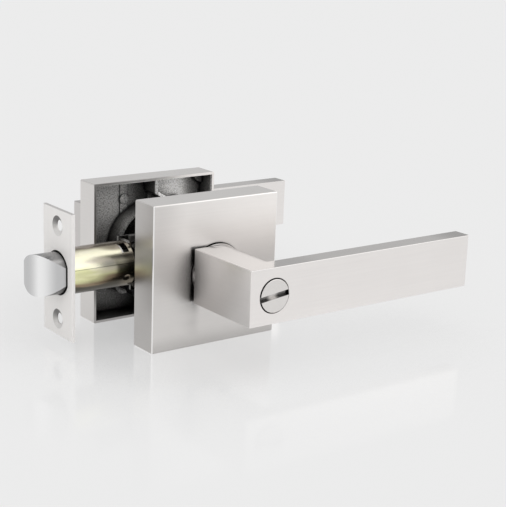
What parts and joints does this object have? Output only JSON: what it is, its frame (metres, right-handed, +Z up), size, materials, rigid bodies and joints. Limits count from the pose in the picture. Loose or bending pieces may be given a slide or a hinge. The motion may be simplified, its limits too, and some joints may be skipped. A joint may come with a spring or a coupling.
{
  "type": "door lever handle",
  "caption": "Two-sided privacy lever set with square roses, flat bar levers, slotted emergency release, thumb turn and a spring tubular latch.",
  "frame": {"origin": "on the spindle axis, halfway through the door", "axes": "+X towards the lever tips and away from the latch, +Y from the outside of the door to the inside, +Z up"},
  "size_m": [0.1848, 0.1555, 0.065],
  "materials": {
    "satin_nickel": "satin brushed nickel",
    "nylon": "dark moulded nylon",
    "black_steel": "black oxide",
    "plain_steel": "dull zinc plate",
    "spring_steel": "drawn wire",
    "bright_chrome": "polished chrome plate",
    "yellow_zinc": "yellow passivated zinc"
  },
  "bodies": {
    "fixed": {"outside_rose": "satin_nickel", "inside_rose": "satin_nickel", "latch_faceplate": "satin_nickel", "outside_bush": "satin_nickel", "inside_bush": "satin_nickel", "outside_thrust_washer": "nylon", "inside_thrust_washer": "nylon", "screw_posts": "black_steel", "through_screws": "black_steel", "outside_cassette_plate": "plain_steel", "inside_cassette_plate": "plain_steel", "spring_seat": "plain_steel", "latch_case_outside": "plain_steel", "latch_case_inside": "plain_steel", "case_rivets": "plain_steel", "outside_return_spring": "spring_steel", "inside_return_spring": "spring_steel", "bolt_spring": "spring_steel", "latch_tube": "yellow_zinc"},
    "handle": {"outside_lever": "satin_nickel", "inside_lever": "satin_nickel", "spindle": "plain_steel", "outside_spring_driver": "plain_steel", "inside_spring_driver": "plain_steel", "latch_cam": "plain_steel", "outside_circlip": "black_steel", "inside_circlip": "black_steel", "outside_set_screw": "black_steel", "inside_set_screw": "black_steel", "release_snap_ring": "black_steel", "turn_snap_ring": "black_steel"},
    "bolt": {"latch_bolt": "bright_chrome", "bolt_drawbar": "plain_steel", "retractor_cheeks": "plain_steel", "retractor_pins": "plain_steel"},
    "privacy": {"emergency_release": "satin_nickel", "privacy_bar": "plain_steel", "thumb_turn": "satin_nickel"}
  },
  "joints": [
    {"name": "lever_turn", "type": "hinge", "parent": "fixed", "child": "handle", "pos_m": [0, 0, 0], "axis": [0, 1, 0], "range_deg": [0, 60], "stiffness_Nm_per_rad": 0.8, "springref_deg": -34.38, "deforming": ["outside_return_spring", "inside_return_spring"]},
    {"name": "bolt_retract", "type": "slide", "parent": "fixed", "child": "bolt", "axis": [1, 0, 0], "range_m": [0, 0.0121], "deforming": ["bolt_spring"]},
    {"name": "privacy_turn", "type": "hinge", "parent": "handle", "child": "privacy", "pos_m": [0, 0, 0], "axis": [0, 1, 0], "range_deg": [0, 90]}
  ],
  "couplings": [
    {"joint": "bolt_retract", "follows": "lever_turn", "m_per_rad": 0.011459}
  ]
}
